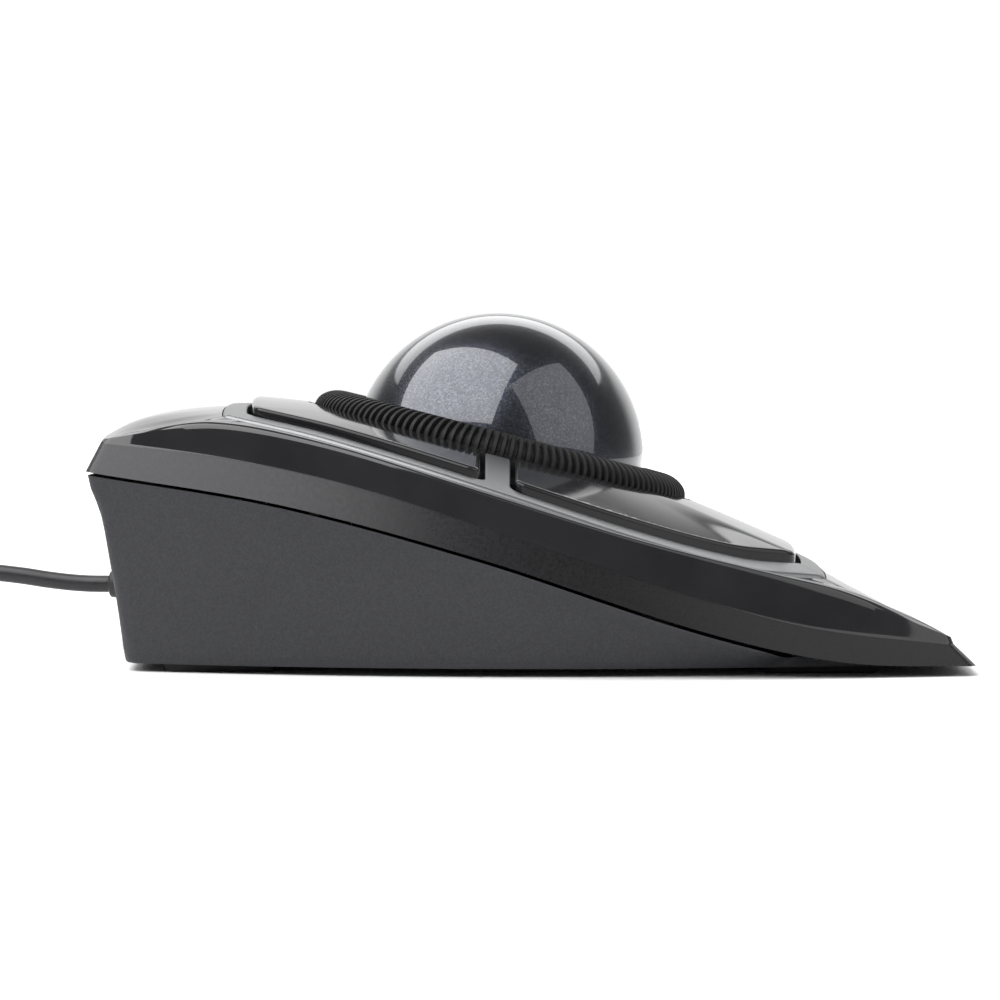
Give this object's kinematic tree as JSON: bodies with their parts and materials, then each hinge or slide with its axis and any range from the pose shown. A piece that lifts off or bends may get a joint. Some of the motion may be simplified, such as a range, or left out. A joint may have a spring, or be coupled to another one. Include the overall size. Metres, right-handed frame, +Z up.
{
  "type": "trackball mouse",
  "caption": "Corded desktop trackball: a large ball in a tilted scroll ring, buttons at the corners, a wedge-shaped two-part housing.",
  "frame": {"origin": "centre of the device's footprint on the surface it stands on, the cable left out", "axes": "+Z up, +Y towards the back where the cable leaves, +X to the device's right"},
  "size_m": [0.13, 0.2889, 0.063],
  "materials": {
    "gloss_black": "gloss moulded",
    "satin_grey": "satin metallic paint",
    "textured_grey": "fine spark texture",
    "ring_rubber": "ribbed",
    "foot_rubber": "matte",
    "ball_resin": "polished, metallic speckle",
    "inner_black": "moulded",
    "bearing_steel": "polished",
    "board_green": "solder mask",
    "chip_black": "moulded",
    "bright_metal": "nickel plated",
    "white_plastic": "moulded",
    "clear_lens": "clear",
    "led_red": "clear red",
    "screw_steel": "zinc plated",
    "cord_jacket": "smooth jacket",
    "plug_rubber": "moulded",
    "tie_plastic": "moulded"
  },
  "bodies": {
    "housing": {"upper_shell": "gloss_black", "top_plate": "satin_grey", "lower_housing": "textured_grey", "foot_rear_left": "foot_rubber", "foot_rear_right": "foot_rubber", "foot_front_left": "foot_rubber", "foot_front_right": "foot_rubber", "ring_track": "inner_black", "ball_cup": "inner_black", "switch_body_rear_left": "inner_black", "switch_body_rear_right": "inner_black", "switch_body_front_left": "inner_black", "switch_body_front_right": "inner_black", "support_bearing_1": "bearing_steel", "support_bearing_2": "bearing_steel", "support_bearing_3": "bearing_steel", "main_board": "board_green", "sensor_board": "board_green", "controller_chip": "chip_black", "ring_sensor": "chip_black", "sensor_chip": "chip_black", "crystal": "bright_metal", "plug_shell": "bright_metal", "cable_header": "white_plastic", "cable_connector": "white_plastic", "plug_insulator": "white_plastic", "sensor_lens": "clear_lens", "illumination_led": "led_red", "housing_screw_rear_left": "screw_steel", "housing_screw_rear_right": "screw_steel", "housing_screw_front_left": "screw_steel", "housing_screw_front_right": "screw_steel", "board_screw_rear_left": "screw_steel", "board_screw_rear_right": "screw_steel", "board_screw_front_left": "screw_steel", "board_screw_front_right": "screw_steel", "usb_cable": "cord_jacket", "cable_coil": "cord_jacket", "cable_tail": "cord_jacket", "inner_lead": "cord_jacket", "plug_overmould": "plug_rubber", "cable_grommet": "plug_rubber", "coil_tie": "tie_plastic"},
    "ball": {"ball": "ball_resin"},
    "scroll_ring": {"scroll_ring": "ring_rubber", "encoder_comb": "inner_black"},
    "button_rear_left": {"button_rear_left": "gloss_black"},
    "button_rear_right": {"button_rear_right": "gloss_black"},
    "button_front_left": {"button_front_left": "gloss_black"},
    "button_front_right": {"button_front_right": "gloss_black"},
    "plunger_rear_left": {"switch_plunger_rear_left": "white_plastic"},
    "plunger_rear_right": {"switch_plunger_rear_right": "white_plastic"},
    "plunger_front_left": {"switch_plunger_front_left": "white_plastic"},
    "plunger_front_right": {"switch_plunger_front_right": "white_plastic"}
  },
  "joints": [
    {"name": "ball_roll", "type": "hinge", "parent": "housing", "child": "ball", "pos_m": [0, 0.0056, 0.03555], "axis": [1, 0, 0], "continuous": true},
    {"name": "ring_turn", "type": "hinge", "parent": "housing", "child": "scroll_ring", "pos_m": [0, 0.0056, 0.03555], "axis": [0, -0.2487, 0.9686], "continuous": true},
    {"name": "press_rear_left", "type": "hinge", "parent": "housing", "child": "button_rear_left", "pos_m": [-0.044, 0.01078, 0.03388], "axis": [-1, 0, 0], "range_deg": [0, 1.2], "stiffness_Nm_per_rad": 0.7, "springref_deg": -0.29},
    {"name": "click_rear_left", "type": "slide", "parent": "housing", "child": "plunger_rear_left", "axis": [0, 0.2487, -0.9686], "range_m": [0, 0.0005]},
    {"name": "press_rear_right", "type": "hinge", "parent": "housing", "child": "button_rear_right", "pos_m": [0.044, 0.01078, 0.03388], "axis": [-1, 0, 0], "range_deg": [0, 1.2], "stiffness_Nm_per_rad": 0.7, "springref_deg": -0.29},
    {"name": "click_rear_right", "type": "slide", "parent": "housing", "child": "plunger_rear_right", "axis": [0, 0.2487, -0.9686], "range_m": [0, 0.0005]},
    {"name": "press_front_left", "type": "hinge", "parent": "housing", "child": "button_front_left", "pos_m": [-0.044, 0.00187, 0.0316], "axis": [1, 0, 0], "range_deg": [0, 1.2], "stiffness_Nm_per_rad": 0.7, "springref_deg": -0.29},
    {"name": "click_front_left", "type": "slide", "parent": "housing", "child": "plunger_front_left", "axis": [0, 0.2487, -0.9686], "range_m": [0, 0.0005]},
    {"name": "press_front_right", "type": "hinge", "parent": "housing", "child": "button_front_right", "pos_m": [0.044, 0.00187, 0.0316], "axis": [1, 0, 0], "range_deg": [0, 1.2], "stiffness_Nm_per_rad": 0.7, "springref_deg": -0.29},
    {"name": "click_front_right", "type": "slide", "parent": "housing", "child": "plunger_front_right", "axis": [0, 0.2487, -0.9686], "range_m": [0, 0.0005]}
  ],
  "couplings": [
    {"joint": "click_rear_left", "follows": "press_rear_left", "m_per_rad": 0.0234},
    {"joint": "click_rear_right", "follows": "press_rear_right", "m_per_rad": 0.0234},
    {"joint": "click_front_left", "follows": "press_front_left", "m_per_rad": 0.0234},
    {"joint": "click_front_right", "follows": "press_front_right", "m_per_rad": 0.0234}
  ]
}
